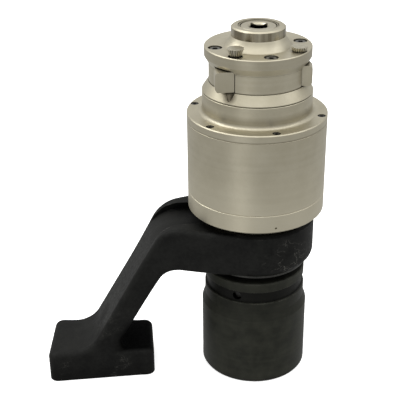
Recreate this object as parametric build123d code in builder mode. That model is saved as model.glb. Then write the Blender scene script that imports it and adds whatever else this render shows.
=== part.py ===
from build123d import *
from math import acos, atan2, cos, degrees, hypot, pi, radians, sin, sqrt, tan
import os

os.makedirs("parts", exist_ok=True)

# ---------------------------------------------------------------- driving dimensions (mm)
# Z runs up the drive axis from the mouth of the impact socket, which stands on the floor.
GEAR_CASE_R = 54.0
CASE_TOP_Z = 225.8
COVER_SEAM_Z = 219.6
END_SEAM_Z = 160.8
CASE_BOTTOM_Z = 145.8

# planetary gearing, the same in both stages
MODULE = 1.4
PRESSURE = radians(20)
SUN_TEETH = 15
PLANET_TEETH = 24
RING_TEETH = 63
PLANETS = 3
CENTRE_R = MODULE * (SUN_TEETH + PLANET_TEETH) / 2

# ratchet head
NECK_R = 42.2
DRUM_R = 37.1
DRUM_BORE_R = 33.5
FLOOR_Z = 250.8
DRUM_TOP_Z = 264.3
ROOF_Z = 267.3
SEAT_Z = 242.4
NOTCH_AZ = -120.4
PLATE_Z = 277.6
PLATE_R = 40.4
COLLAR_R = 20.4
COLLAR_TOP_Z = 292.25
COVER_SCREW_AZ = 16.8
COVER_SCREW_R = 33.0
COVER_SCREW_HOLE_R = 2.7
COVER_SCREW_BORE_R = 5.3
COVER_SCREW_BOSS_R = 5.0
KNOB_R_POS = 34.0
KNOB_TRAVEL = 2.5
KNOB_1_AZ = -118.2
KNOB_2_AZ = -28.2
MIRROR_AZ = (KNOB_1_AZ + KNOB_2_AZ) / 2
PAWL_PIVOT = (32.0, -5.5)
PAWL_OUT_DEG = 27.6
PAWL_BOSS_R = 4.9
PAWL_PIN_R = 3.0
PAWL_TIP_R = 42.0
WHEEL_TEETH = 25
WHEEL_TIP_R = 26.0
WHEEL_SPACE_AZ = -22.8

# input
DRIVE_IN = 12.7
INPUT_SQUARE_DEG = -5.0
INPUT_R = 13.5

# flange screws
FLANGE_SCREW_R = 50.0
FLANGE_SCREW_AZ = -13.2
END_SCREW_R = 49.4
CASE_SCREW_R = 1.5
CASE_SCREW_HOLE_R = 1.7
CASE_SCREW_TAP_R = 1.55
CASE_SCREW_BORE_R = 3.1
CASE_SCREW_BORE_H = 3.4
CASE_SCREW_HEAD_R = 2.75
CASE_SCREW_HEAD_H = 3.0
CASE_SCREW_KEY = 2.5
SPIGOT_R = 46.6

# output and socket
DRIVE_OUT = 38.1
SHAFT_R = 25.5
BOSS_R = 36.0
SPLINES = 24
SOCKET_TOP_Z = 93.4
HEX_AF = 60.0
SOCKET_R = 43.3
PIN_AZ = -110.0
PIN_Z = 80.5
CROSS_HOLE_R = 3.6
CROSS_PIN_R = 3.4
PLANET_PIN_1_R = 5.0
PLANET_PIN_2_R = 6.0
CARRIER_R = 41.0
BUSH_R = 30.0

# reaction arm, drawn along its own direction u at ARM_AZ
ARM_AZ = 188.2
ARM_HALF_W = 23.8
HUB_R = 47.2
HUB_TOP_Z = 139.3
FOOT_IN = 86.3
FOOT_OUT = 174.6
FOOT_OUT_FAR = 170.0
FOOT_H = 26.0
WAIST_U = 100.0
ARM_EDGE_R = 4.5
FOOT_NEAR_W = 26.0
FOOT_FAR_W = 31.0


def polar(r, az):
    return (r * cos(radians(az)), r * sin(radians(az)))


def turned(point, centre, deg):
    a = radians(deg)
    dx = point[0] - centre[0]
    dy = point[1] - centre[1]
    return (centre[0] + dx * cos(a) - dy * sin(a), centre[1] + dx * sin(a) + dy * cos(a))


def moved(points, place):
    return [(x + place[0], y + place[1]) for x, y in points]


def mirrored(point):
    r = hypot(*point)
    az = degrees(atan2(point[1], point[0]))
    return polar(r, 2 * MIRROR_AZ - az)


def involute(angle):
    return tan(angle) - angle


def tooth_points(teeth, tip_r, root_r, slack, first_deg):
    """Corner points of a gear outline; slack thins each tooth at the pitch circle."""
    pitch_r = MODULE * teeth / 2
    base_r = pitch_r * cos(PRESSURE)
    half = pi / (2 * teeth) - slack / (2 * pitch_r)
    start_r = max(root_r, base_r)
    radii = [start_r + (tip_r - start_r) * k / 3 for k in range(4)]
    if root_r < base_r:
        radii = [root_r] + radii
    flank = []
    for r in radii:
        roll = involute(acos(min(1.0, base_r / max(r, base_r))))
        flank.append((r, half + involute(PRESSURE) - roll))
    points = []
    for k in range(teeth):
        mid = radians(first_deg) + 2 * pi * k / teeth
        for r, a in flank:
            points.append((r * cos(mid - a), r * sin(mid - a)))
        for r, a in reversed(flank):
            points.append((r * cos(mid + a), r * sin(mid + a)))
    return points


def slot_points(count, tip_r, root_r, tip_space, root_space, first_deg):
    """Wheel outline whose spaces are centred on first_deg, widths in mm."""
    points = []
    for k in range(count):
        mid = radians(first_deg) + 2 * pi * k / count
        corners = [(tip_r, -tip_space), (root_r, -root_space), (root_r, root_space), (tip_r, tip_space)]
        for r, w in corners:
            a = mid + w / (2 * r)
            points.append((r * cos(a), r * sin(a)))
    return points


def save(part, label):
    part.label = label
    export_step(part, "parts/" + label + ".step")


sun_tip = MODULE * (SUN_TEETH / 2 + 0.9)
sun_root = MODULE * (SUN_TEETH / 2 - 1.25)
planet_tip = MODULE * (PLANET_TEETH / 2 + 0.9)
planet_root = MODULE * (PLANET_TEETH / 2 - 1.25)
ring_tip = MODULE * (RING_TEETH / 2 - 0.8)
ring_root = MODULE * (RING_TEETH / 2 + 1.2)
cover_screw_az = [COVER_SCREW_AZ + 90 * k for k in range(4)]
flange_screw_az = [FLANGE_SCREW_AZ + 60 * k for k in range(6)]
planet_az = [120 * k for k in range(PLANETS)]
pivot_2 = PAWL_PIVOT
pivot_1 = mirrored(pivot_2)


# ---------------------------------------------------------------- ring-gear housing
ring_space = tooth_points(RING_TEETH, ring_root, ring_tip, -0.12, 180 / RING_TEETH)
with BuildPart() as housing:
    with BuildSketch(Plane.XY.offset(END_SEAM_Z)):
        Circle(GEAR_CASE_R)
    extrude(amount=COVER_SEAM_Z - END_SEAM_Z)
    chamfer(housing.edges().sort_by(Axis.Z)[-1], 0.35)
    chamfer(housing.edges().sort_by(Axis.Z)[0], 0.45)
    with BuildSketch(Plane.XY.offset(END_SEAM_Z)):
        Circle(SPIGOT_R)
    extrude(amount=3.0, mode=Mode.SUBTRACT)
    with BuildSketch(Plane.XY.offset(COVER_SEAM_Z)):
        Circle(SPIGOT_R)
    extrude(amount=-3.0, mode=Mode.SUBTRACT)
    with BuildSketch(Plane.XY.offset(END_SEAM_Z)):
        with BuildLine():
            Polyline(*ring_space, close=True)
        make_face()
    extrude(amount=COVER_SEAM_Z - END_SEAM_Z, mode=Mode.SUBTRACT)
    with BuildSketch(Plane.XY.offset(COVER_SEAM_Z)):
        for az in flange_screw_az:
            with Locations(polar(FLANGE_SCREW_R, az)):
                Circle(CASE_SCREW_TAP_R)
    extrude(amount=-14.0, mode=Mode.SUBTRACT)
    with BuildSketch(Plane.XY.offset(END_SEAM_Z)):
        for az in flange_screw_az:
            with Locations(polar(END_SCREW_R, az + 30)):
                Circle(CASE_SCREW_TAP_R)
    extrude(amount=14.0, mode=Mode.SUBTRACT)
save(housing.part, "ring_gear_housing")


# ---------------------------------------------------------------- gear-case cover with neck
with BuildPart() as case_cover:
    with BuildSketch(Plane.XZ):
        with BuildLine():
            Polyline(
                (14.0, SEAT_Z), (NECK_R - 0.4, SEAT_Z), (NECK_R, SEAT_Z - 0.4), (NECK_R, 229.0),
            )
            RadiusArc((NECK_R, 229.0), (45.4, CASE_TOP_Z), -3.2)
            Polyline(
                (45.4, CASE_TOP_Z), (GEAR_CASE_R - 0.7, CASE_TOP_Z), (GEAR_CASE_R, 225.1),
                (GEAR_CASE_R, 220.0), (GEAR_CASE_R - 0.4, COVER_SEAM_Z), (SPIGOT_R - 0.1, COVER_SEAM_Z),
                (SPIGOT_R - 0.1, 217.2), (43.0, 217.2),
                (43.0, 222.0), (25.0, 222.0), (25.0, 228.0), (21.03, 228.0), (21.03, 240.0),
                (14.0, 240.0), (14.0, SEAT_Z),
            )
        make_face()
    revolve(axis=Axis.Z)
    with BuildSketch(Plane.XY.offset(CASE_TOP_Z)):
        for az in flange_screw_az:
            with Locations(polar(FLANGE_SCREW_R, az)):
                Circle(CASE_SCREW_HOLE_R)
    extrude(amount=-10.0, mode=Mode.SUBTRACT)
    with BuildSketch(Plane.XY.offset(CASE_TOP_Z)):
        for az in flange_screw_az:
            with Locations(polar(FLANGE_SCREW_R, az)):
                Circle(CASE_SCREW_BORE_R)
    extrude(amount=-CASE_SCREW_BORE_H, mode=Mode.SUBTRACT)
    with BuildSketch(Plane.XY.offset(SEAT_Z)):
        for az in cover_screw_az:
            with Locations(polar(COVER_SCREW_R, az)):
                Circle(2.55)
    extrude(amount=-12.0, mode=Mode.SUBTRACT)
save(case_cover.part, "gear_case_cover")


def socket_screws(places, head_z, head_r, head_h, shank_r, end_z, key, name):
    with BuildPart() as screws:
        for place in places:
            with BuildSketch(Plane.XY.offset(head_z - head_h)):
                with Locations(place):
                    Circle(head_r)
            extrude(amount=head_h)
        chamfer(screws.edges().group_by(Axis.Z)[-1], 0.35)
        for place in places:
            with BuildSketch(Plane.XY.offset(end_z)):
                with Locations(place):
                    Circle(shank_r)
            extrude(amount=head_z - head_h - end_z)
            with BuildSketch(Plane.XY.offset(head_z)):
                with Locations(place):
                    RegularPolygon(key / 2, 6, major_radius=False)
            extrude(amount=-head_h * 0.55, mode=Mode.SUBTRACT)
    save(screws.part, name)


flange_places = [polar(FLANGE_SCREW_R, az) for az in flange_screw_az]
socket_screws(flange_places, CASE_TOP_Z - 0.4, CASE_SCREW_HEAD_R, CASE_SCREW_HEAD_H, CASE_SCREW_R, 207.0,
              CASE_SCREW_KEY, "flange_screws")


# ---------------------------------------------------------------- lower end ring with splined boss
def spline_points(count, outer_r, inner_r, tooth_deg):
    points = []
    for k in range(count):
        mid = 360 * k / count
        points.append(polar(inner_r, mid - tooth_deg / 2 - 1.0))
        points.append(polar(outer_r, mid - tooth_deg / 2))
        points.append(polar(outer_r, mid + tooth_deg / 2))
        points.append(polar(inner_r, mid + tooth_deg / 2 + 1.0))
    return points


with BuildPart() as end_ring:
    with BuildSketch(Plane.XZ):
        with BuildLine():
            Polyline(
                (BUSH_R + 0.05, 104.0), (BUSH_R + 0.05, 151.8), (41.6, 151.8), (41.6, 163.2),
                (SPIGOT_R - 0.2, 163.2), (SPIGOT_R - 0.2, END_SEAM_Z), (GEAR_CASE_R - 0.4, END_SEAM_Z),
                (GEAR_CASE_R, 160.4), (GEAR_CASE_R, 147.0), (GEAR_CASE_R - 1.2, CASE_BOTTOM_Z),
                (42.0, CASE_BOTTOM_Z), (42.0, 139.6), (BOSS_R, 139.6), (BOSS_R, 98.2),
                (28.2, 98.2), (28.2, 104.0), (BUSH_R + 0.05, 104.0),
            )
        make_face()
    revolve(axis=Axis.Z)
    with BuildSketch(Plane.XY.offset(96.0)):
        Circle(BOSS_R + 2)
        with BuildLine():
            Polyline(*spline_points(SPLINES, BOSS_R, BOSS_R - 1.8, 6.0), close=True)
        make_face(mode=Mode.SUBTRACT)
    extrude(amount=43.6, mode=Mode.SUBTRACT)
    with BuildSketch(Plane.XY.offset(99.4)):
        Circle(BOSS_R + 2)
        Circle(BOSS_R - 2.4, mode=Mode.SUBTRACT)
    extrude(amount=2.8, mode=Mode.SUBTRACT)
    with BuildSketch(Plane.XY.offset(CASE_BOTTOM_Z)):
        for az in flange_screw_az:
            with Locations(polar(END_SCREW_R, az + 30)):
                Circle(CASE_SCREW_HOLE_R)
    extrude(amount=20.0, mode=Mode.SUBTRACT)
    with BuildSketch(Plane.XY.offset(CASE_BOTTOM_Z)):
        for az in flange_screw_az:
            with Locations(polar(END_SCREW_R, az + 30)):
                Circle(CASE_SCREW_BORE_R)
    extrude(amount=CASE_SCREW_BORE_H, mode=Mode.SUBTRACT)
    dimple = Plane(origin=(*polar(GEAR_CASE_R, -73.0), 150.2), z_dir=(*polar(1.0, -73.0), 0))
    with BuildSketch(dimple):
        Circle(0.9)
    extrude(amount=-1.2, mode=Mode.SUBTRACT)
save(end_ring.part, "end_ring")


# screws that hold the end ring, put in from below
with BuildPart() as end_screws:
    for az in flange_screw_az:
        place = polar(END_SCREW_R, az + 30)
        with BuildSketch(Plane.XY.offset(CASE_BOTTOM_Z + 0.4)):
            with Locations(place):
                Circle(CASE_SCREW_HEAD_R)
        extrude(amount=CASE_SCREW_HEAD_H)
    chamfer(end_screws.edges().group_by(Axis.Z)[0], 0.3)
    for az in flange_screw_az:
        place = polar(END_SCREW_R, az + 30)
        with BuildSketch(Plane.XY.offset(CASE_BOTTOM_Z + 0.4 + CASE_SCREW_HEAD_H)):
            with Locations(place):
                Circle(CASE_SCREW_R)
        extrude(amount=24.0)
        with BuildSketch(Plane.XY.offset(CASE_BOTTOM_Z + 0.4)):
            with Locations(place):
                RegularPolygon(CASE_SCREW_KEY / 2, 6, major_radius=False)
        extrude(amount=1.6, mode=Mode.SUBTRACT)
save(end_screws.part, "end_ring_screws")


# ---------------------------------------------------------------- reaction arm
u_dir = (*polar(1.0, ARM_AZ), 0)
side_normal = (sin(radians(ARM_AZ)), -cos(radians(ARM_AZ)), 0)
side = Plane(origin=(0, 0, 0), x_dir=u_dir, z_dir=side_normal)
plan = Plane(origin=(0, 0, 0), x_dir=u_dir, z_dir=(0, 0, 1))


def along_arm(point):
    return point.X * u_dir[0] + point.Y * u_dir[1]


FOOT_TOP = FOOT_H - 0.2
with BuildPart() as arm:
    with BuildSketch(side):
        with BuildLine():
            Line((12.0, HUB_TOP_Z), (60.7, HUB_TOP_Z))
            RadiusArc((60.7, HUB_TOP_Z), (82.5, 126.6), 25.1)
            Line((82.5, 126.6), (131.9, 38.9))
            RadiusArc((131.9, 38.9), (154.3, FOOT_TOP), -25.9)
            Polyline(
                (154.3, FOOT_TOP), (FOOT_OUT + 5, FOOT_TOP), (FOOT_OUT + 5, 0), (FOOT_IN, 0),
                (FOOT_IN, FOOT_TOP), (106.0, FOOT_TOP),
            )
            RadiusArc((106.0, FOOT_TOP), (112.2, 36.4), -7.2)
            Line((112.2, 36.4), (79.4, 92.5))
            RadiusArc((79.4, 92.5), (61.4, 102.8), -20.8)
            Polyline((61.4, 102.8), (12.0, 102.8), (12.0, HUB_TOP_Z))
        make_face()
    extrude(amount=50, both=True)
    with BuildSketch(plan):
        with BuildLine():
            Line((8.0, -45.9), (8.0, 45.9))
            Spline((8.0, 45.9), (56.0, 33.6), (78.0, 26.6), (WAIST_U, ARM_HALF_W),
                   tangents=((0.985, -0.17), (FOOT_OUT - WAIST_U, FOOT_NEAR_W - ARM_HALF_W)))
            Line((WAIST_U, ARM_HALF_W), (FOOT_OUT, FOOT_NEAR_W))
            Line((FOOT_OUT, FOOT_NEAR_W), (FOOT_OUT_FAR, -FOOT_FAR_W))
            Line((FOOT_OUT_FAR, -FOOT_FAR_W), (WAIST_U, -ARM_HALF_W))
            Spline((WAIST_U, -ARM_HALF_W), (78.0, -26.6), (56.0, -33.6), (8.0, -45.9),
                   tangents=((WAIST_U - FOOT_OUT_FAR, FOOT_FAR_W - ARM_HALF_W), (-0.985, -0.17)))
        make_face()
    extrude(amount=150, mode=Mode.INTERSECT)
    foot_corners = arm.edges().filter_by(
        lambda e: abs(e.tangent_at(0.5).Z) > 0.999 and abs(e.length - FOOT_TOP) < 0.1)
    fillet(foot_corners, 7.0)
    rims = arm.edges().filter_by(
        lambda e: abs(e.tangent_at(0.5).Z) < 0.95 or e.length > 30).filter_by(
        lambda e: along_arm(e.center()) > 20 and e.center().Z > 1.0)
    fillet(rims, ARM_EDGE_R)
    with BuildSketch(Plane.XZ):
        with BuildLine():
            Polyline((0, 102.0), (39.2, 102.0))
            RadiusArc((39.2, 102.0), (HUB_R, 110.0), -8.0)
            Polyline((HUB_R, 110.0), (HUB_R, 137.3), (45.2, HUB_TOP_Z), (0, HUB_TOP_Z), (0, 102.0))
        make_face()
    revolve(axis=Axis.Z)
    with BuildSketch(side):
        with BuildLine():
            Line((30.0, 150.0), (30.0, 133.5))
            Line((30.0, 133.5), (62.6, 133.5))
            RadiusArc((62.6, 133.5), (86.5, 119.6), 27.4)
            Polyline((86.5, 119.6), (110.0, 150.0), (30.0, 150.0))
        make_face()
    extrude(amount=19.0, both=True, mode=Mode.SUBTRACT)
    with BuildSketch(Plane.XY.offset(100.0)):
        with BuildLine():
            Polyline(*spline_points(SPLINES, BOSS_R + 0.3, BOSS_R - 1.5, 6.9), close=True)
        make_face()
    extrude(amount=50.0, mode=Mode.SUBTRACT)
save(arm.part, "reaction_arm")


# ring that holds the arm on the boss, sprung into the boss groove
with BuildPart() as arm_ring:
    with BuildSketch(Plane.XY.offset(99.7)):
        Circle(42.0)
        Circle(BOSS_R - 2.1, mode=Mode.SUBTRACT)
    extrude(amount=2.2)
    chamfer(arm_ring.edges().filter_by(GeomType.CIRCLE).group_by(SortBy.RADIUS)[-1], 0.4)
save(arm_ring.part, "arm_retaining_ring")


# ---------------------------------------------------------------- output side
with BuildPart() as output:
    with BuildSketch(Plane.XZ):
        with BuildLine():
            Polyline(
                (0, 54.5), (23.8, 54.5), (SHAFT_R, 56.2), (SHAFT_R, 152.3), (CARRIER_R, 152.3),
                (CARRIER_R, 162.5), (0, 162.5), (0, 54.5),
            )
        make_face()
    revolve(axis=Axis.Z)
    with BuildSketch(Plane.XY.offset(50.0)):
        Circle(SHAFT_R + 2)
        Rectangle(DRIVE_OUT, DRIVE_OUT, mode=Mode.SUBTRACT)
    extrude(amount=44.6, mode=Mode.SUBTRACT)
    with BuildSketch(Plane.XY.offset(162.5)):
        for az in planet_az:
            with Locations(polar(34.5, az + 60)):
                Circle(6.0)
    extrude(amount=26.0)
    with BuildSketch(Plane.XY.offset(188.3)):
        Circle(CARRIER_R)
        Circle(14.5, mode=Mode.SUBTRACT)
    extrude(amount=3.6)
    with BuildSketch(Plane.XY.offset(158.0)):
        for az in planet_az:
            with Locations(polar(CENTRE_R, az)):
                Circle(PLANET_PIN_2_R + 0.02)
    extrude(amount=40.0, mode=Mode.SUBTRACT)
    cross = Plane(origin=(0, 0, PIN_Z), z_dir=(*polar(1.0, PIN_AZ), 0))
    with BuildSketch(cross):
        Circle(CROSS_HOLE_R)
    extrude(amount=30.0, both=True, mode=Mode.SUBTRACT)
save(output.part, "output_carrier")


def pin_set(radius, low, high, name):
    with BuildPart() as pins:
        with BuildSketch(Plane.XY.offset(low)):
            for az in planet_az:
                with Locations(polar(CENTRE_R, az)):
                    Circle(radius)
        extrude(amount=high - low)
        chamfer(pins.edges(), 0.3)
    save(pins.part, name)


pin_set(PLANET_PIN_2_R, 158.05, 191.6, "planet_pins_2")
pin_set(PLANET_PIN_1_R, 194.0, 215.5, "planet_pins_1")

# impact socket
with BuildPart() as impact:
    with BuildSketch(Plane.XZ):
        with BuildLine():
            Polyline(
                (0, 0), (42.2, 0), (SOCKET_R, 1.6), (SOCKET_R, 58.8), (41.0, 65.8), (41.0, 75.2),
                (39.4, 75.8), (39.4, 84.9), (40.8, 85.5), (40.8, 92.6), (40.0, SOCKET_TOP_Z),
                (0, SOCKET_TOP_Z), (0, 0),
            )
        make_face()
    revolve(axis=Axis.Z)
    with BuildSketch(Plane.XY):
        Circle(35.6)
    extrude(amount=4.0, mode=Mode.SUBTRACT)
    with BuildSketch(Plane.XY):
        RegularPolygon(HEX_AF / 2, 6, major_radius=False)
    extrude(amount=48.0, mode=Mode.SUBTRACT)
    with BuildSketch(Plane.XY):
        Circle(14.0)
    extrude(amount=SOCKET_TOP_Z, mode=Mode.SUBTRACT)
    with BuildSketch(Plane.XY.offset(SOCKET_TOP_Z)):
        Circle(SHAFT_R + 0.5)
        with BuildLine():
            half = DRIVE_OUT / 2 + 0.15
            Polyline((-30, -half), (30, -half), (30, -30), (-30, -30), close=True)
        make_face(mode=Mode.SUBTRACT)
        with BuildLine():
            Polyline((-30, half), (30, half), (30, 30), (-30, 30), close=True)
        make_face(mode=Mode.SUBTRACT)
        with BuildLine():
            Polyline((-half, -30), (-half, 30), (-30, 30), (-30, -30), close=True)
        make_face(mode=Mode.SUBTRACT)
        with BuildLine():
            Polyline((half, -30), (half, 30), (30, 30), (30, -30), close=True)
        make_face(mode=Mode.SUBTRACT)
    extrude(amount=-39.6, mode=Mode.SUBTRACT)
    with BuildSketch(Plane.XY.offset(SOCKET_TOP_Z)):
        Circle(SHAFT_R + 1.3)
    extrude(amount=-2.0, mode=Mode.SUBTRACT)
    with BuildSketch(cross):
        Circle(CROSS_HOLE_R)
    extrude(amount=50.0, both=True, mode=Mode.SUBTRACT)
save(impact.part, "impact_socket")

with BuildPart() as cross_pin:
    with BuildSketch(cross):
        Circle(CROSS_PIN_R)
    extrude(amount=36.0, both=True)
    chamfer(cross_pin.edges(), 0.5)
save(cross_pin.part, "socket_pin")


# ---------------------------------------------------------------- gears
sun_outline = tooth_points(SUN_TEETH, sun_tip, sun_root, 0.08, 0)
stage_heights = {"1": (200.2, 214.2, PLANET_PIN_1_R + 0.04), "2": (166.0, 187.6, PLANET_PIN_2_R + 0.04)}
for stage, (low, high, bore) in stage_heights.items():
    for index, az in enumerate(planet_az):
        letter = "abc"[index]
        place = polar(CENTRE_R, az)
        outline = tooth_points(PLANET_TEETH, planet_tip, planet_root, 0.08, az + 180 / PLANET_TEETH)
        with BuildPart() as planet:
            with BuildSketch(Plane.XY.offset(low)):
                with BuildLine():
                    Polyline(*moved(outline, place), close=True)
                make_face()
                with Locations(place):
                    Circle(bore, mode=Mode.SUBTRACT)
            extrude(amount=high - low)
        save(planet.part, "planet_" + stage + letter)

# first carrier with the second sun on its shaft
with BuildPart() as carrier:
    with BuildSketch(Plane.XY.offset(193.4)):
        Circle(CARRIER_R)
        for az in planet_az:
            with Locations(polar(CENTRE_R, az)):
                Circle(PLANET_PIN_1_R + 0.02, mode=Mode.SUBTRACT)
    extrude(amount=6.0)
    with BuildSketch(Plane.XY.offset(190.6)):
        Circle(12.6)
    extrude(amount=3.0)
    with BuildSketch(Plane.XY.offset(164.5)):
        with BuildLine():
            Polyline(*sun_outline, close=True)
        make_face()
    extrude(amount=29.0)
save(carrier.part, "carrier_1")

# input shaft: square socket at the top, first sun at the bottom
with BuildPart() as shaft:
    with BuildSketch(Plane.XZ):
        with BuildLine():
            Polyline(
                (0, 216.0), (8.4, 216.0), (8.4, 224.0), (12.0, 224.0), (12.0, 244.0), (INPUT_R, 245.0),
                (INPUT_R, 291.2), (13.0, 291.7), (0, 291.7), (0, 216.0),
            )
        make_face()
    revolve(axis=Axis.Z)
    with BuildSketch(Plane.XY.offset(200.4)):
        with BuildLine():
            Polyline(*sun_outline, close=True)
        make_face()
    extrude(amount=15.6)
    with BuildSketch(Plane(origin=(0, 0, 266.0), x_dir=(*polar(1.0, INPUT_SQUARE_DEG), 0))):
        Rectangle(DRIVE_IN, DRIVE_IN)
    extrude(amount=30.0, mode=Mode.SUBTRACT)
    with BuildSketch(Plane.XZ):
        with BuildLine():
            Polyline((0, 289.9), (6.4, 289.9), (8.4, 291.9), (0, 291.9), (0, 289.9))
        make_face()
    revolve(axis=Axis.Z, mode=Mode.SUBTRACT)
save(shaft.part, "input_shaft")

wheel_outline = slot_points(WHEEL_TEETH, WHEEL_TIP_R, 23.8, 4.1, 3.1, WHEEL_SPACE_AZ)
with BuildPart() as wheel:
    with BuildSketch(Plane.XY.offset(252.2)):
        with BuildLine():
            Polyline(*wheel_outline, close=True)
        make_face()
        Circle(INPUT_R + 0.02, mode=Mode.SUBTRACT)
    extrude(amount=13.6)
save(wheel.part, "ratchet_wheel")


# ---------------------------------------------------------------- bearings, bush and seal
def sleeve(inner, outer, low, high, edge, name):
    with BuildPart() as ring:
        with BuildSketch(Plane.XY.offset(low)):
            Circle(outer)
            Circle(inner, mode=Mode.SUBTRACT)
        extrude(amount=high - low)
        chamfer(ring.edges(), edge)
    save(ring.part, name)


sleeve(12.04, 21.0, 228.05, 239.9, 0.5, "input_bearing")
sleeve(INPUT_R + 0.04, 15.25, 269.0, 287.4, 0.3, "input_bush")
sleeve(SHAFT_R + 0.05, BUSH_R, 106.0, 151.6, 0.5, "output_bush")
sleeve(SHAFT_R + 0.05, BUSH_R, 104.05, 105.9, 0.2, "output_seal")


# ---------------------------------------------------------------- pawl drum
def window_sector(pivot, near_az, far_az):
    """Plan of one window: a round clearance about the pivot, stopped at the far edge."""
    turn = 1 if far_az > near_az else -1
    with BuildSketch(Plane.XY) as window:
        with Locations(pivot):
            Circle(13.4)
        with BuildLine():
            Polyline((0, 0), polar(70, far_az), polar(90, far_az + 40 * turn), polar(70, far_az + 80 * turn),
                     close=True)
        make_face(mode=Mode.SUBTRACT)
    return window.sketch


window_2 = window_sector(pivot_2, -30.0, -0.8)
window_1 = window_sector(pivot_1, 2 * MIRROR_AZ + 30.0, 2 * MIRROR_AZ + 0.8)
with BuildPart() as drum:
    with BuildSketch(Plane.XZ):
        with BuildLine():
            Polyline(
                (14.0, 242.6), (41.6, 242.6), (NECK_R, 243.2), (NECK_R, 243.6), (DRUM_R + 0.5, 250.6),
                (DRUM_R - 0.3, 250.6), (DRUM_R - 0.3, 251.0), (DRUM_R, 251.2), (DRUM_R, DRUM_TOP_Z),
                (0, DRUM_TOP_Z), (0, 248.0), (14.0, 248.0), (14.0, 242.6),
            )
        make_face()
    revolve(axis=Axis.Z)
    with BuildSketch(Plane.XY.offset(FLOOR_Z)):
        Circle(DRUM_BORE_R)
        for az in cover_screw_az:
            with Locations(polar(COVER_SCREW_R, az)):
                Circle(COVER_SCREW_BOSS_R, mode=Mode.SUBTRACT)
    extrude(amount=20.0, mode=Mode.SUBTRACT)
    with BuildSketch(Plane.XY.offset(247.0)):
        Circle(14.0)
    extrude(amount=10.0, mode=Mode.SUBTRACT)
    with BuildSketch(Plane.XY.offset(FLOOR_Z)):
        add(window_1)
        add(window_2)
    extrude(amount=20.0, mode=Mode.SUBTRACT)
    with BuildSketch(Plane.XY.offset(242.0)):
        for az in cover_screw_az:
            with Locations(polar(COVER_SCREW_R, az)):
                Circle(COVER_SCREW_HOLE_R)
    extrude(amount=30.0, mode=Mode.SUBTRACT)
    with BuildSketch(Plane.XY.offset(FLOOR_Z)):
        with Locations(pivot_1, pivot_2):
            Circle(PAWL_PIN_R + 0.02)
    extrude(amount=-5.0, mode=Mode.SUBTRACT)
    with Locations((*polar(40.4, NOTCH_AZ), 247.55)):
        Cone(0.1, 4.5, 7.0, mode=Mode.SUBTRACT)
save(drum.part, "pawl_drum")

# ratchet cover: plate, cone and collar turned in one piece
with BuildPart() as cover:
    with BuildSketch(Plane.XZ):
        with BuildLine():
            Polyline(
                (15.3, ROOF_Z), (DRUM_BORE_R, ROOF_Z), (DRUM_BORE_R, DRUM_TOP_Z + 0.1),
                (DRUM_R, DRUM_TOP_Z + 0.1), (DRUM_R + 0.1, 265.0), (PLATE_R, 270.3), (PLATE_R, 277.0),
                (PLATE_R - 0.6, PLATE_Z), (25.6, PLATE_Z),
            )
            RadiusArc((25.6, PLATE_Z), (COLLAR_R, 284.9), 24.0)
            Polyline(
                (COLLAR_R, 284.9), (COLLAR_R, 291.2), (19.0, COLLAR_TOP_Z), (15.3, COLLAR_TOP_Z),
                (15.3, ROOF_Z),
            )
        make_face()
    revolve(axis=Axis.Z)
    with BuildSketch(Plane.XY.offset(ROOF_Z)):
        for az in cover_screw_az:
            with Locations(polar(COVER_SCREW_R, az)):
                Circle(COVER_SCREW_BOSS_R)
        Circle(DRUM_R - 0.1, mode=Mode.INTERSECT)
    extrude(amount=DRUM_TOP_Z + 0.1 - ROOF_Z)
    with BuildSketch(Plane.XY.offset(ROOF_Z)):
        add(window_1)
        add(window_2)
    extrude(amount=-8.0, mode=Mode.SUBTRACT)
    with BuildSketch(Plane.XY.offset(260.0)):
        for az in cover_screw_az:
            with Locations(polar(COVER_SCREW_R, az)):
                Circle(COVER_SCREW_HOLE_R)
    extrude(amount=30.0, mode=Mode.SUBTRACT)
    with BuildSketch(Plane.XY.offset(PLATE_Z)):
        for az in cover_screw_az:
            with Locations(polar(COVER_SCREW_R, az)):
                Circle(COVER_SCREW_BORE_R)
    extrude(amount=-5.8, mode=Mode.SUBTRACT)
    with BuildSketch(Plane.XY.offset(ROOF_Z)):
        with Locations(pivot_1, pivot_2):
            Circle(PAWL_PIN_R + 0.02)
    extrude(amount=3.0, mode=Mode.SUBTRACT)
    with BuildSketch(Plane.XY.offset(260.0)):
        with Locations(polar(KNOB_R_POS, KNOB_1_AZ), polar(KNOB_R_POS, KNOB_2_AZ)):
            Circle(2.05)
    extrude(amount=30.0, mode=Mode.SUBTRACT)
    with BuildSketch(Plane.XY.offset(PLATE_Z)):
        with Locations(polar(KNOB_R_POS, KNOB_1_AZ), polar(KNOB_R_POS, KNOB_2_AZ)):
            Circle(5.45)
    extrude(amount=-4.0, mode=Mode.SUBTRACT)
save(cover.part, "ratchet_cover")

cover_places = [polar(COVER_SCREW_R, az) for az in cover_screw_az]
socket_screws(cover_places, PLATE_Z - 0.6, 4.25, 5.0, 2.5, 232.0, 4.0, "cover_screws")


# ---------------------------------------------------------------- knobs
def knob(az, base_z, name):
    place = polar(KNOB_R_POS, az)
    with BuildPart() as button:
        with BuildSketch(Plane.XY.offset(base_z)):
            with BuildLine():
                Polyline(*moved(slot_points(20, 4.1, 3.45, 0.8, 0.3, 0), place), close=True)
            make_face()
        with BuildSketch(Plane.XY.offset(base_z + 6.0)):
            with BuildLine():
                Polyline(*moved(slot_points(20, 6.2, 5.4, 1.25, 0.45, 0), place), close=True)
            make_face()
        loft()
        with BuildSketch(Plane.XY.offset(base_z + 6.0)):
            with Locations(place):
                Circle(5.35)
        extrude(amount=0.2)
        with BuildSketch(Plane.XY.offset(base_z)):
            with Locations(place):
                Circle(2.0)
        extrude(amount=-6.0)
    save(button.part, name)


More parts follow.
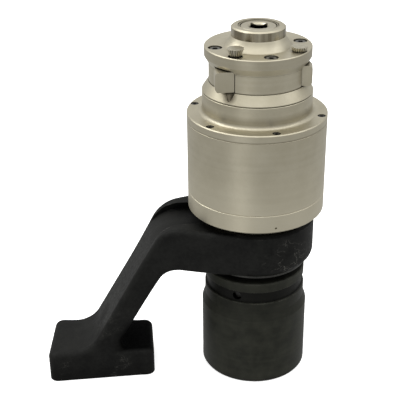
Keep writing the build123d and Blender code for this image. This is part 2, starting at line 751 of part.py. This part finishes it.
knob(KNOB_1_AZ, PLATE_Z, "knob_1")
knob(KNOB_2_AZ, PLATE_Z - KNOB_TRAVEL, "knob_2")


# ---------------------------------------------------------------- pawls, pins and springs
def about_pivot(radius, deg):
    return (PAWL_PIVOT[0] + radius * cos(radians(deg)), PAWL_PIVOT[1] + radius * sin(radians(deg)))


nose_dir = polar(1.0, -25.0)
nose_side = polar(1.0, 65.0)


def nose(r, side_mm):
    return (r * nose_dir[0] + side_mm * nose_side[0], r * nose_dir[1] + side_mm * nose_side[1])


pawl_plan = [(40.2, -17.8), (40.5, -7.5)]
pawl_plan += [about_pivot(PAWL_BOSS_R, deg) for deg in range(20, 215, 10)]
pawl_plan += [nose(29.4, 2.2), nose(26.5, 1.1), nose(26.5, -1.1), nose(29.3, -2.2), (26.2, -17.0)]
pawl_plan_1 = [mirrored(turned(p, PAWL_PIVOT, PAWL_OUT_DEG)) for p in pawl_plan]
pawl_plan_1.reverse()
for name, outline, pivot in (("pawl_1", pawl_plan_1, pivot_1), ("pawl_2", pawl_plan, pivot_2)):
    with BuildPart() as pawl:
        with BuildSketch(Plane.XY.offset(251.4)):
            with BuildLine():
                Polyline(*outline, close=True)
            make_face()
        extrude(amount=15.3)
        tips = pawl.edges().filter_by(Axis.Z).filter_by(
            lambda e: hypot(e.center().X, e.center().Y) > PAWL_TIP_R)
        chamfer(tips, 0.8)
        end_rims = pawl.edges().filter_by(Plane.XY).filter_by(
            lambda e: hypot(e.center().X, e.center().Y) > PAWL_TIP_R and e.length > 5)
        fillet(end_rims, 3.0)
        with BuildSketch(Plane.XY.offset(250.0)):
            with Locations(pivot):
                Circle(PAWL_PIN_R + 0.04)
        extrude(amount=20.0, mode=Mode.SUBTRACT)
        with BuildSketch(Plane.XY.offset(266.7)):
            with Locations(pivot):
                Circle(4.1)
        extrude(amount=-6.0, mode=Mode.SUBTRACT)
    save(pawl.part, name)

with BuildPart() as pins:
    with BuildSketch(Plane.XY.offset(245.9)):
        with Locations(pivot_1, pivot_2):
            Circle(PAWL_PIN_R)
    extrude(amount=24.2)
    chamfer(pins.edges(), 0.3)
save(pins.part, "pawl_pins")

SPRING_R = 3.55
SPRING_Z = 261.2
springs = []
for pivot in (pivot_1, pivot_2):
    with BuildPart() as spring:
        with BuildLine():
            Helix(pitch=0.95, height=4.4, radius=SPRING_R, center=(*pivot, SPRING_Z))
        with BuildSketch(Plane(origin=(pivot[0] + SPRING_R, pivot[1], SPRING_Z), z_dir=(0, 1, 0.04))):
            Circle(0.36)
        sweep(is_frenet=True)
    springs += spring.part.solids()
save(Compound(children=springs), "pawl_springs")


# ---------------------------------------------------------------- dust ring round the input
with BuildPart() as dust:
    with BuildSketch(Plane.XY.offset(287.4)):
        Circle(14.75)
        Circle(INPUT_R + 0.55, mode=Mode.SUBTRACT)
    extrude(amount=4.5)
save(dust.part, "dust_ring")
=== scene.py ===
import math

import bpy
from mathutils import Matrix, Vector

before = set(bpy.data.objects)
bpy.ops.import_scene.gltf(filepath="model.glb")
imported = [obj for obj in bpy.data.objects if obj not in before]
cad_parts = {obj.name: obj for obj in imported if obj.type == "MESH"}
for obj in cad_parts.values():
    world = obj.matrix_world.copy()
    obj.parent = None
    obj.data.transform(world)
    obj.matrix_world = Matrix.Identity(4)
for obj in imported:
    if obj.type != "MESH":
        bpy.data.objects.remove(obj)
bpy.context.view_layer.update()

MM = 0.001


# ---------------------------------------------------------------- materials

class Surface:
    """A procedural material: a Principled shader and the nodes that feed it."""

    def __init__(self, name, metallic, specular=0.5):
        self.material = bpy.data.materials.new(name)
        self.material.use_nodes = True
        self.tree = self.material.node_tree
        self.shader = self.tree.nodes["Principled BSDF"]
        self.shader.inputs["Metallic"].default_value = metallic
        self.shader.inputs["Specular IOR Level"].default_value = specular

    def node(self, kind, inputs=None, **settings):
        """A new node with its settings, and its inputs set to values or linked to sockets."""
        made = self.tree.nodes.new(kind)
        for name, value in settings.items():
            setattr(made, name, value)
        for name, value in (inputs or {}).items():
            self.feed(made.inputs[name], value)
        return made

    def feed(self, socket, value):
        """Links a node's output to the socket, or sets a plain value on it."""
        if isinstance(value, bpy.types.NodeSocket):
            self.tree.links.new(value, socket)
        else:
            socket.default_value = value

    def place(self):
        """The point in the part's own frame, in metres."""
        return self.node("ShaderNodeTexCoord").outputs["Object"]

    def lathe_place(self):
        """(distance from the main axis, 0, height). Marks laid on it run round the axis, as on a lathe."""
        split = self.node("ShaderNodeSeparateXYZ", {"Vector": self.place()})
        across = self.node("ShaderNodeCombineXYZ", {"X": split.outputs["X"], "Y": split.outputs["Y"]})
        radius = self.node("ShaderNodeVectorMath", {0: across.outputs["Vector"]}, operation="LENGTH")
        return self.node(
            "ShaderNodeCombineXYZ", {"X": radius.outputs["Value"], "Z": split.outputs["Z"]}
        ).outputs["Vector"]

    def stretched_place(self, along, by):
        """The point with one axis drawn out `by` times, so that marks laid on it run along that axis."""
        scale = [1.0, 1.0, 1.0]
        scale["XYZ".index(along)] = 1.0 / by
        return self.node(
            "ShaderNodeMapping", {"Vector": self.place(), "Scale": scale}, vector_type="POINT"
        ).outputs["Vector"]

    def noise(self, place, size, detail=3.0, roughness=0.55, distortion=0.0):
        """Noise from 0 to 1 whose spots are about `size` metres across."""
        return self.node(
            "ShaderNodeTexNoise",
            {"Vector": place, "Scale": 1.0 / size, "Detail": detail, "Roughness": roughness,
             "Distortion": distortion},
        ).outputs["Fac"]

    def spots(self, place, size, threshold, softness):
        """Scattered small spots: 1 inside a spot and 0 elsewhere."""
        cells = self.node(
            "ShaderNodeTexVoronoi", {"Vector": place, "Scale": 1.0 / size, "Randomness": 1.0}
        ).outputs["Distance"]
        return self.remap(cells, threshold, threshold + softness, 1.0, 0.0)

    def scratches(self, place, size):
        """Thin crooked lines: 1 on a line and 0 beside it."""
        field = self.noise(place, size, detail=4.0, roughness=0.58, distortion=0.8)
        off_line = self.node("ShaderNodeMath", {0: field, 1: 0.5}, operation="SUBTRACT").outputs["Value"]
        width = self.node("ShaderNodeMath", {0: off_line}, operation="ABSOLUTE").outputs["Value"]
        return self.remap(width, 0.002, 0.010, 1.0, 0.0)

    def near(self, place, centre, reach, core=0.35):
        """1 about the point `centre`, out to core * reach, and 0 beyond `reach` from it."""
        gap = self.node("ShaderNodeVectorMath", {0: place, 1: centre}, operation="DISTANCE")
        return self.remap(gap.outputs["Value"], core * reach, reach, 1.0, 0.0)

    def within(self, value, low, high, softness=0.1 * MM):
        """1 while value lies between low and high, and 0 outside."""
        above = self.remap(value, low, low + softness)
        below = self.remap(value, high - softness, high, 1.0, 0.0)
        return self.product(above, below)

    def remap(self, value, low, high, to_low=0.0, to_high=1.0):
        """Runs from to_low to to_high as value runs from low to high, and stays level outside."""
        return self.node(
            "ShaderNodeMapRange",
            {"Value": value, "From Min": low, "From Max": high, "To Min": to_low, "To Max": to_high},
            clamp=True,
        ).outputs["Result"]

    def product(self, first, second):
        return self.node("ShaderNodeMath", {0: first, 1: second}, operation="MULTIPLY").outputs["Value"]

    def total(self, first, second):
        return self.node("ShaderNodeMath", {0: first, 1: second}, operation="ADD").outputs["Value"]

    def blend(self, share, first, second):
        """Colour `first` where share is 0 and `second` where it is 1."""
        mix = self.node("ShaderNodeMix", data_type="RGBA", clamp_factor=True)
        self.feed(mix.inputs["Factor"], share)
        self.feed(mix.inputs[6], first if isinstance(first, bpy.types.NodeSocket) else (*first, 1.0))
        self.feed(mix.inputs[7], second if isinstance(second, bpy.types.NodeSocket) else (*second, 1.0))
        return mix.outputs[2]

    def edges(self, radius):
        """1 along outer and inner edges, to about `radius` from them, and 0 on open faces."""
        rounded = self.node("ShaderNodeBevel", {"Radius": radius}, samples=6).outputs["Normal"]
        flat = self.node("ShaderNodeNewGeometry").outputs["Normal"]
        bend = self.node("ShaderNodeVectorMath", {0: rounded, 1: flat}, operation="DOT_PRODUCT")
        return self.remap(bend.outputs["Value"], 0.995, 0.90)

    def openness(self, reach):
        """1 in the open and 0 where everything within `reach` is walled in."""
        return self.node("ShaderNodeAmbientOcclusion", {"Distance": reach}, samples=6).outputs["AO"]

    def corners(self, reach):
        """1 deep in grooves and inner corners within `reach`, and 0 in the open."""
        return self.remap(self.openness(reach), 0.75, 0.25)

    def relief(self, *layers, softened=0.0):
        """Feeds the shader's normal with bumps stacked from (height, strength, depth in metres)."""
        normal = None
        if softened:
            normal = self.node("ShaderNodeBevel", {"Radius": softened}, samples=6).outputs["Normal"]
        for height, strength, depth in layers:
            inputs = {"Height": height, "Strength": strength, "Distance": depth}
            if normal is not None:
                inputs["Normal"] = normal
            normal = self.node("ShaderNodeBump", inputs).outputs["Normal"]
        self.feed(self.shader.inputs["Normal"], normal)

    def radius_and_height(self):
        """Distance from the main axis and height above the bench, in metres."""
        split = self.node("ShaderNodeSeparateXYZ", {"Vector": self.lathe_place()})
        return split.outputs["X"], split.outputs["Z"]

    def finish(self, colour, roughness):
        self.feed(self.shader.inputs["Base Color"], colour)
        self.feed(self.shader.inputs["Roughness"], roughness)
        return self.material


# Features of the object that its finish and its painted light and shade follow, in metres: heights
# above the bench, and distances from the main axis. Where the first of a pair is the larger, they set in
# inwards or downwards.
COLLAR_RADII = (20.2 * MM, 20.7 * MM)
COLLAR_HEIGHTS = (284.9 * MM, 291.4 * MM)
RIM_RADII = (40.0 * MM, 40.2 * MM)
RIM_HEIGHTS = (270.2 * MM, 277.4 * MM)
UNDER_RIM_HEIGHTS = (264.8 * MM, 270.4 * MM)
BORE_RADII = (9.3 * MM, 9.1 * MM)
BORE_HEIGHTS = (290.9 * MM, 289.8 * MM)
NECK_FOOT_HEIGHTS = (227.0 * MM, 236.0 * MM)
COVER_SEAM_HEIGHTS = (218.6 * MM, 221.0 * MM)
# Heights of the painted light on the case walls.
CASE_LIT_HEIGHTS = (100.0 * MM, 200.0 * MM)
GROOVE_RADII = (40.2 * MM, 39.8 * MM)
GROOVE_HEIGHTS = (75.5 * MM, 85.2 * MM)
SHOULDER_HEIGHTS = (58.6 * MM, 75.6 * MM)
FOOT_TOP_HEIGHTS = (23.5 * MM, 26.0 * MM)
# The drum's notch, where a painted shadow lies.
NOTCH_CENTRE = (-20.4 * MM, -34.8 * MM, 248.2 * MM)
NOTCH_REACH = 6.5 * MM
# Where the painted shadow of the arm falls on the top of its foot.
UNDER_ARM_CENTRE = (-98.0 * MM, -14.0 * MM, 32.0 * MM)
UNDER_ARM_REACH = 34.0 * MM


# The plated pieces, the input shaft and the gears.

NICKEL = (0.50, 0.465, 0.365)
NICKEL_DULL = (0.43, 0.395, 0.300)
NICKEL_BRIGHT = (0.66, 0.63, 0.53)
NICKEL_WARM = (0.66, 0.615, 0.485)
# Painted shade and painted shadow colours follow, for hollows, grooves, the notch and deep gaps.
NICKEL_SHADE = (0.20, 0.175, 0.125)
CREVICE_SHADE = (0.060, 0.055, 0.045)
NOTCH_SHADOW_BROWN = (0.085, 0.070, 0.048)
DEEP_SHADE_BLACK = (0.010, 0.009, 0.008)
GEAR_STEEL = (0.36, 0.34, 0.31)
TURNING_MARKS = 0.45 * MM


def nickel_skin(name, marks_place, mark_size, roughness_low=0.38, roughness_high=0.50, shade=0.75):
    """Satin nickel plate over machined steel, with painted shade darkening its hollows and grooves, black
    in deep gaps. marks_place lays the tool marks.
    """
    s = Surface(name, metallic=1.0)
    place = s.place()
    marks = marks_place(s)
    cloud = s.noise(place, 26 * MM, detail=4.0)
    fine = s.noise(place, 2.2 * MM, detail=5.0, roughness=0.65)
    lines = s.noise(marks, mark_size, detail=6.0, roughness=0.7)
    bands = s.noise(marks, 9 * mark_size, detail=2.0)
    edge = s.edges(0.35 * MM)
    room = s.openness(9 * MM)
    colour = s.blend(s.remap(cloud, 0.35, 0.7), NICKEL, NICKEL_DULL)
    colour = s.blend(s.product(s.remap(fine, 0.52, 0.75), 0.35), colour, NICKEL_DULL)
    colour = s.blend(s.product(s.remap(bands, 0.45, 0.75), 0.15), colour, NICKEL_BRIGHT)
    colour = s.blend(s.product(edge, 0.22), colour, NICKEL_BRIGHT)
    # Painted shade: darker in hollows within 9 mm, a dark line in tight grooves, and black in deep gaps.
    colour = s.blend(s.product(s.remap(room, 0.75, 0.25), shade), colour, NICKEL_SHADE)
    colour = s.blend(s.product(s.corners(1.2 * MM), 0.45), colour, CREVICE_SHADE)
    colour = s.blend(s.remap(room, 0.46, 0.22), colour, DEEP_SHADE_BLACK)
    s.relief((lines, 0.15, 0.006 * MM), (fine, 0.18, 0.008 * MM), softened=0.15 * MM)
    return s, colour, s.remap(s.total(fine, lines), 0.6, 1.4, roughness_low, roughness_high)


def nickel(*settings):
    """The plate as it is, with nothing on it. The settings are those of nickel_skin."""
    s, colour, roughness = nickel_skin(*settings)
    return s.finish(colour, roughness)


def band(heights, softness):
    """A zone between two heights."""
    return lambda s: s.within(s.radius_and_height()[1], *heights, softness)


def spot(centre, reach):
    """A zone about a point."""
    return lambda s: s.near(s.place(), centre, reach)


def zoned_nickel(name, *zones):
    """Turned nickel with zones tinted: (zone, share, tint), which lay painted light and painted shade over
    parts of it.
    """
    s, colour, roughness = nickel_skin(name, Surface.lathe_place, TURNING_MARKS)
    for zone, share, tint in zones:
        colour = s.blend(s.product(zone(s), share), colour, tint)
    return s.finish(colour, roughness)


def collared_nickel(name):
    """Turned nickel whose collar wall is ground smooth and carries painted reflections, dark streaks along
    the axis; painted light under the rim and painted shade on the rim wall.
    """
    s, colour, roughness = nickel_skin(name, Surface.lathe_place, TURNING_MARKS)
    radius, height = s.radius_and_height()
    collar = s.product(s.within(radius, *COLLAR_RADII), s.within(height, *COLLAR_HEIGHTS))
    rim_wall = s.product(s.remap(radius, *RIM_RADII), s.within(height, *RIM_HEIGHTS))
    under_rim = s.within(height, *UNDER_RIM_HEIGHTS)
    # Painted light under the rim, and painted shade on the rim wall.
    colour = s.blend(s.product(under_rim, 0.45), colour, NICKEL_BRIGHT)
    colour = s.blend(s.product(rim_wall, 0.20), colour, NICKEL_SHADE)
    # Painted reflection: dark streaks along the axis on the collar wall.
    streak_reflections = s.noise(s.stretched_place("Z", 40.0), 5.0 * MM, detail=3.0)
    colour = s.blend(s.product(collar, s.remap(streak_reflections, 0.36, 0.58, 0.25, 1.0)), colour, NICKEL_SHADE)
    smooth = s.product(roughness, s.remap(collar, 0.0, 1.0, 1.0, 0.55))
    return s.finish(colour, smooth)


def bored_nickel(name):
    """The input shaft: bright on its rim, with painted shade that makes it black down inside the square
    hole.
    """
    s, colour, roughness = nickel_skin(
        name, Surface.lathe_place, 0.35 * MM, roughness_low=0.30, roughness_high=0.42, shade=1.0
    )
    radius, height = s.radius_and_height()
    # Painted shade: black down inside the square hole.
    bore = s.product(s.remap(radius, *BORE_RADII), s.remap(height, *BORE_HEIGHTS))
    return s.finish(s.blend(bore, colour, DEEP_SHADE_BLACK), roughness)


def knurled_nickel(name):
    """The same plate on a knurled grip, with painted shade between the teeth."""
    s = Surface(name, metallic=1.0)
    place = s.place()
    fine = s.noise(place, 1.6 * MM, detail=4.0)
    colour = s.blend(s.remap(fine, 0.4, 0.7), NICKEL, NICKEL_DULL)
    colour = s.blend(s.product(s.edges(0.30 * MM), 0.9), colour, NICKEL_BRIGHT)
    # Painted shade between the teeth.
    colour = s.blend(s.product(s.corners(1.4 * MM), 0.9), colour, CREVICE_SHADE)
    s.relief((fine, 0.25, 0.015 * MM), softened=0.15 * MM)
    return s.finish(colour, s.remap(fine, 0.3, 0.7, 0.28, 0.42))


def bare_steel(name):
    """Ground and oiled gear steel, never plated."""
    s = Surface(name, metallic=1.0)
    cloud = s.noise(s.place(), 9 * MM, detail=4.0)
    lines = s.noise(s.lathe_place(), 0.5 * MM, detail=5.0)
    dark = tuple(0.62 * c for c in GEAR_STEEL)
    light = tuple(1.35 * c for c in GEAR_STEEL)
    colour = s.blend(s.remap(cloud, 0.35, 0.7), GEAR_STEEL, dark)
    colour = s.blend(s.edges(0.25 * MM), colour, light)
    # Painted shade in grooves and inner corners.
    colour = s.blend(s.product(s.corners(2.0 * MM), 0.7), colour, CREVICE_SHADE)
    s.relief((lines, 0.25, 0.010 * MM), softened=0.15 * MM)
    return s.finish(colour, s.remap(lines, 0.3, 0.7, 0.22, 0.38))


# The black pieces and the screws.

FORGED_BLACK = (0.0088, 0.0088, 0.0085)
FORGED_GREY = (0.0162, 0.0164, 0.0153)
FORGED_SHADE = (0.0004, 0.0004, 0.0004)
SOCKET_BLACK = (0.0170, 0.0178, 0.0137)
SOCKET_GREY = (0.0300, 0.0310, 0.0236)
OXIDE_BLACK = (0.008, 0.008, 0.007)
RING_BLACK = (0.016, 0.016, 0.014)
SCREW_BLUED = (0.085, 0.082, 0.074)
SCREW_GREYED = (0.14, 0.135, 0.12)
SCUFFED_STEEL = (0.16, 0.155, 0.14)
# Centre, reach and strength of each: one on the hub, two on the foot and one on the leg, all in front.
SCRATCHED_PATCHES = (
    ((27.0 * MM, -38.0 * MM, 114.0 * MM), 24.0 * MM, 0.9),
    ((-111.0 * MM, -41.0 * MM, 10.0 * MM), 17.0 * MM, 0.4),
    ((-154.0 * MM, -48.0 * MM, 13.0 * MM), 13.0 * MM, 0.22),
    ((-116.0 * MM, -40.0 * MM, 48.0 * MM), 26.0 * MM, 0.15),
)


def forged_black(name):
    """Black oxide on a forged skin: pitted, waved, scratched, and rubbed through on its edges, with
    painted shade in its hollows and a painted shadow under the arm.
    """
    s = Surface(name, metallic=0.0, specular=0.045)
    place = s.place()
    wave = s.noise(place, 14 * MM, detail=3.0)
    skin = s.noise(place, 2.4 * MM, detail=6.0, roughness=0.62)
    grit = s.noise(place, 0.7 * MM, detail=4.0)
    pits = s.spots(place, 6.5 * MM, 0.05, 0.07)
    rubbed = s.product(s.edges(0.9 * MM), s.remap(s.noise(place, 7 * MM, detail=5.0), 0.50, 0.66))
    scratch = s.product(s.scratches(s.stretched_place("X", 1.8), 8 * MM), s.remap(wave, 0.45, 0.55))
    colour = s.blend(s.remap(s.total(wave, skin), 0.75, 1.25), FORGED_BLACK, FORGED_GREY)
    colour = s.blend(s.product(rubbed, 0.55), colour, SCUFFED_STEEL)
    for centre, reach, strength in SCRATCHED_PATCHES:
        patch = s.near(place, centre, reach)
        colour = s.blend(s.product(s.product(scratch, patch), strength), colour, SCUFFED_STEEL)
    # Painted shadow on the top of the foot under the arm, and painted shade in hollows and corners within
    # 55 mm. The shadowed foot top is also made rougher.
    above_foot = s.remap(s.radius_and_height()[1], *FOOT_TOP_HEIGHTS)
    under_arm_shadow = s.product(s.near(place, UNDER_ARM_CENTRE, UNDER_ARM_REACH, core=0.75), above_foot)
    colour = s.blend(s.total(s.corners(55 * MM), under_arm_shadow), colour, FORGED_SHADE)
    s.relief((wave, 0.30, 0.35 * MM), (skin, 0.32, 0.16 * MM), (grit, 0.22, 0.05 * MM),
             (pits, 0.25, 0.10 * MM), softened=0.5 * MM)
    return s.finish(colour, s.total(s.remap(skin, 0.3, 0.7, 0.34, 0.56), s.product(under_arm_shadow, 0.4)))


def socket_black(name):
    """Phosphated impact socket: turned, matt, faintly green-black, with a greyer worn film."""
    s = Surface(name, metallic=0.0, specular=0.10)
    place = s.place()
    lathe = s.lathe_place()
    lines = s.noise(lathe, 0.55 * MM, detail=5.0, roughness=0.65)
    bands = s.noise(lathe, 5 * MM, detail=3.0)
    film = s.noise(place, 11 * MM, detail=5.0, roughness=0.6)
    grain = s.noise(place, 0.9 * MM, detail=4.0)
    rubbed = s.product(s.edges(0.5 * MM), s.remap(film, 0.42, 0.60))
    colour = s.blend(s.remap(s.total(film, s.product(bands, 0.4)), 0.55, 0.90), SOCKET_BLACK, SOCKET_GREY)
    colour = s.blend(s.product(rubbed, 0.5), colour, SCUFFED_STEEL)
    radius, height = s.radius_and_height()
    # Painted shade in hollows and inner corners within 9 mm; the groove and the shoulder band are also
    # made darker, towards the same shade colour.
    groove = s.product(s.within(height, *GROOVE_HEIGHTS), s.remap(radius, *GROOVE_RADII))
    shoulder = s.within(height, *SHOULDER_HEIGHTS, 1.5 * MM)
    groove_and_shoulder_dark = s.total(s.product(groove, 0.8), s.product(shoulder, 0.26))
    colour = s.blend(s.total(s.corners(9 * MM), groove_and_shoulder_dark), colour, FORGED_SHADE)
    s.relief((lines, 0.14, 0.015 * MM), (grain, 0.20, 0.025 * MM), softened=0.35 * MM)
    return s.finish(colour, s.remap(s.total(grain, film), 0.7, 1.3, 0.38, 0.54))


def black_oxide(name, base):
    """Oxide-blackened steel, a little shiny, worn along its edges."""
    s = Surface(name, metallic=0.0, specular=0.35)
    skin = s.noise(s.place(), 1.3 * MM, detail=4.0)
    light = tuple(2.4 * c for c in base)
    colour = s.blend(s.remap(skin, 0.4, 0.7), base, light)
    colour = s.blend(s.product(s.edges(0.18 * MM), 0.4), colour, SCUFFED_STEEL)
    s.relief((skin, 0.2, 0.02 * MM), softened=0.15 * MM)
    return s.finish(colour, s.remap(skin, 0.3, 0.7, 0.26, 0.42))


def screw_steel(name, tone=1.0):
    """Screw heads: blued steel rubbed grey by keys, with painted shade black down in the hexagon. A low
    tone is darker.
    """
    s = Surface(name, metallic=0.6, specular=0.3)
    skin = s.noise(s.place(), 1.1 * MM, detail=4.0)
    blued = tuple(tone * c for c in SCREW_BLUED)
    greyed = tuple(tone * c for c in SCREW_GREYED)
    colour = s.blend(s.remap(skin, 0.4, 0.7), blued, greyed)
    colour = s.blend(s.product(s.edges(0.2 * MM), 0.6 * tone), colour, SCUFFED_STEEL)
    # Painted shade: black down in the hexagon.
    deep = s.remap(s.openness(3 * MM), 0.86, 0.62)
    colour = s.blend(deep, colour, FORGED_SHADE)
    s.relief((skin, 0.2, 0.02 * MM), softened=0.15 * MM)
    return s.finish(colour, s.remap(skin, 0.3, 0.7, 0.26, 0.42))


# The bushes and the seal.

BRONZE = (0.60, 0.36, 0.14)
BRONZE_STAINED = (0.30, 0.17, 0.07)
BRONZE_BRIGHT = (0.80, 0.56, 0.28)
RUBBER_BLACK = (0.010, 0.010, 0.011)
RUBBER_DUSTY = (0.032, 0.031, 0.029)


def bronze(name):
    """Oil-stained bearing bronze."""
    s = Surface(name, metallic=1.0)
    stain = s.noise(s.place(), 6 * MM, detail=5.0)
    lines = s.noise(s.lathe_place(), 0.5 * MM, detail=4.0)
    colour = s.blend(s.remap(stain, 0.38, 0.68), BRONZE, BRONZE_STAINED)
    colour = s.blend(s.product(s.edges(0.2 * MM), 0.8), colour, BRONZE_BRIGHT)
    s.relief((lines, 0.25, 0.012 * MM), softened=0.15 * MM)
    return s.finish(colour, s.remap(stain, 0.3, 0.7, 0.26, 0.44))


def rubber(name):
    """Nitrile seal rubber with a bloom of dust."""
    s = Surface(name, metallic=0.0, specular=0.35)
    dust = s.noise(s.place(), 3 * MM, detail=6.0, roughness=0.7)
    grain = s.noise(s.place(), 0.35 * MM, detail=3.0)
    colour = s.blend(s.remap(dust, 0.45, 0.75), RUBBER_BLACK, RUBBER_DUSTY)
    s.relief((grain, 0.35, 0.03 * MM))
    return s.finish(colour, s.remap(dust, 0.3, 0.7, 0.52, 0.72))


def dress(material, *nodes):
    """Gives CAD nodes this material in place of the one that they came with."""
    for name in nodes:
        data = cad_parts[name].data
        data.materials.clear()
        data.materials.append(material)


def milled_place(s):
    return s.stretched_place("Z", 14.0)


def dress_all():
    # Painted shadow, dark brown, in the notch of the drum.
    notch = (spot(NOTCH_CENTRE, NOTCH_REACH), 0.85, NOTCH_SHADOW_BROWN)
    # Painted shade at the foot of the neck.
    neck_foot = (band(NECK_FOOT_HEIGHTS, 4.5 * MM), 0.40, NICKEL_SHADE)
    # Painted shade along the seam under the cover.
    cover_seam = (band(COVER_SEAM_HEIGHTS, 0.6 * MM), 0.30, NICKEL_SHADE)
    # Painted light: a lighter, warmer band on the case walls.
    case_lit = (band(CASE_LIT_HEIGHTS, 40.0 * MM), 0.50, NICKEL_WARM)
    dress(nickel("turned_nickel", Surface.lathe_place, TURNING_MARKS), "dust_ring")
    dress(nickel("milled_nickel", milled_place, 0.5 * MM, 0.34, 0.46), "pawl_1", "pawl_2")
    dress(zoned_nickel("drum_nickel", notch), "pawl_drum")
    dress(zoned_nickel("neck_nickel", neck_foot, cover_seam), "gear_case_cover")
    dress(zoned_nickel("case_nickel", case_lit, cover_seam), "ring_gear_housing", "end_ring")
    dress(collared_nickel("collared_nickel"), "ratchet_cover")
    dress(knurled_nickel("knurled_nickel"), "knob_1", "knob_2")
    dress(bored_nickel("bored_nickel"), "input_shaft")
    dress(forged_black("forged_black"), "reaction_arm")
    dress(socket_black("socket_black"), "impact_socket")
    dress(screw_steel("screw_steel"), "cover_screws")
    dress(screw_steel("dark_screw_steel", 0.35), "flange_screws", "end_ring_screws")
    dress(black_oxide("black_oxide", OXIDE_BLACK), "socket_pin")
    dress(black_oxide("dark_ring", RING_BLACK), "arm_retaining_ring")
    dress(bronze("bearing_bronze"), "input_bush", "output_bush")
    dress(rubber("seal_rubber"), "output_seal")
    planets = ["planet_%s%s" % (stage, planet) for stage in "12" for planet in "abc"]
    dress(bare_steel("gear_steel"), "carrier_1", "output_carrier", "ratchet_wheel", "input_bearing",
          "planet_pins_1", "planet_pins_2", "pawl_pins", "pawl_springs", *planets)


# ---------------------------------------------------------------- studio

STUDIO_MIDDLE = Vector((0.0, 0.0, 0.15))
# Name, azimuth, elevation, distance, width, height and power in watts of each.
LIGHTS = (
    ("overhead", -10.0, 68.0, 1.6, 1.6, 1.2, 3.6),
    ("right_panel", 88.0, 42.0, 1.5, 0.4, 1.2, 2.2),
    ("left_panel", -100.0, 48.0, 1.5, 0.6, 1.2, 8.0),
    ("strip", -24.0, -16.0, 1.4, 0.45, 2.0, 1.3),
)
# Height from straight down, 0, to straight up, 1, and how bright the world is there.
WORLD_LEVELS = ((0.0, 0.45), (0.25, 0.60), (0.5, 0.62), (0.72, 0.76), (0.96, 1.38))
BENCH_SIZE = 14.0
BENCH_CENTRE = (0.0, 2.0, -0.0002)
BENCH_WHITE = (0.93, 0.93, 0.93, 1.0)
BENCH_GLOW = 0.62
CAMERA_PLACE = (0.0, -0.6809, 0.4888)
CAMERA_LENS = 85.11
CAMERA_SENSOR = 36.0
CAMERA_DOWN, CAMERA_TURN, CAMERA_TILT = (math.radians(a) for a in (26.596, -3.7515, -0.6888))


def heading(azimuth, elevation):
    """Unit vector towards a place in the studio: azimuth 0 is the camera's side, 90 the right side."""
    a, e = math.radians(azimuth), math.radians(elevation)
    return Vector((math.sin(a) * math.cos(e), -math.cos(a) * math.cos(e), math.sin(e)))


def soft_light(name, azimuth, elevation, distance, width, height, power):
    """A rectangular panel that faces the middle of the studio."""
    data = bpy.data.lights.new(name, "AREA")
    data.shape = "RECTANGLE"
    data.size = width
    data.size_y = height
    data.energy = power
    lamp = bpy.data.objects.new(name, data)
    bpy.context.scene.collection.objects.link(lamp)
    lamp.location = STUDIO_MIDDLE + heading(azimuth, elevation) * distance
    lamp.rotation_euler = (STUDIO_MIDDLE - lamp.location).to_track_quat("-Z", "Y").to_euler()


def studio_world():
    """Plain light from all round: dim below the bench, brighter overhead."""
    world = bpy.data.worlds.new("studio")
    bpy.context.scene.world = world
    world.use_nodes = True
    nodes, links = world.node_tree.nodes, world.node_tree.links
    place = nodes.new("ShaderNodeTexCoord")
    split = nodes.new("ShaderNodeSeparateXYZ")
    links.new(place.outputs["Generated"], split.inputs["Vector"])
    height = nodes.new("ShaderNodeMapRange")
    height.inputs["From Min"].default_value = -1.0
    links.new(split.outputs["Z"], height.inputs["Value"])
    ramp = nodes.new("ShaderNodeValToRGB")
    ramp.color_ramp.interpolation = "EASE"
    elements = ramp.color_ramp.elements
    for at, _ in WORLD_LEVELS[1:-1]:
        elements.new(at)
    for element, (at, level) in zip(elements, WORLD_LEVELS):
        element.position = at
        element.color = (level, level, 0.985 * level, 1.0)
    links.new(height.outputs["Result"], ramp.inputs["Fac"])
    links.new(ramp.outputs["Color"], nodes["Background"].inputs["Color"])
    nodes["Background"].inputs["Strength"].default_value = 1.0


def bench():
    """A wide, plain white floor that fades into nothing. It gives no light back to the object."""
    bpy.ops.mesh.primitive_plane_add(size=BENCH_SIZE, location=BENCH_CENTRE)
    floor = bpy.context.object
    floor.name = "bench"
    material = bpy.data.materials.new("white_bench")
    material.use_nodes = True
    shader = material.node_tree.nodes["Principled BSDF"]
    shader.inputs["Base Color"].default_value = BENCH_WHITE
    shader.inputs["Roughness"].default_value = 0.9
    shader.inputs["Specular IOR Level"].default_value = 0.0
    shader.inputs["Emission Color"].default_value = (1.0, 1.0, 1.0, 1.0)
    shader.inputs["Emission Strength"].default_value = BENCH_GLOW
    floor.data.materials.append(material)
    floor.visible_glossy = False
    floor.visible_diffuse = False


def camera():
    """Above the bench and in front of the object, looking down on it."""
    data = bpy.data.cameras.new("camera")
    data.sensor_width = CAMERA_SENSOR
    data.lens = CAMERA_LENS
    data.clip_start = 0.02
    data.clip_end = 60.0
    shot = bpy.data.objects.new("camera", data)
    bpy.context.scene.collection.objects.link(shot)
    flat_ahead = Vector((math.sin(CAMERA_TURN), math.cos(CAMERA_TURN), 0.0))
    ahead = math.cos(CAMERA_DOWN) * flat_ahead - math.sin(CAMERA_DOWN) * Vector((0.0, 0.0, 1.0))
    level = Vector((math.cos(CAMERA_TURN), -math.sin(CAMERA_TURN), 0.0))
    upright = level.cross(ahead)
    right = math.cos(CAMERA_TILT) * level + math.sin(CAMERA_TILT) * upright
    up = math.cos(CAMERA_TILT) * upright - math.sin(CAMERA_TILT) * level
    turn = Matrix((right, up, -ahead)).transposed().to_4x4()
    shot.matrix_world = Matrix.Translation(CAMERA_PLACE) @ turn
    bpy.context.scene.camera = shot


def studio():
    bpy.context.scene.view_settings.view_transform = "Standard"
    studio_world()
    bench()
    for light in LIGHTS:
        soft_light(*light)
    camera()


dress_all()
studio()
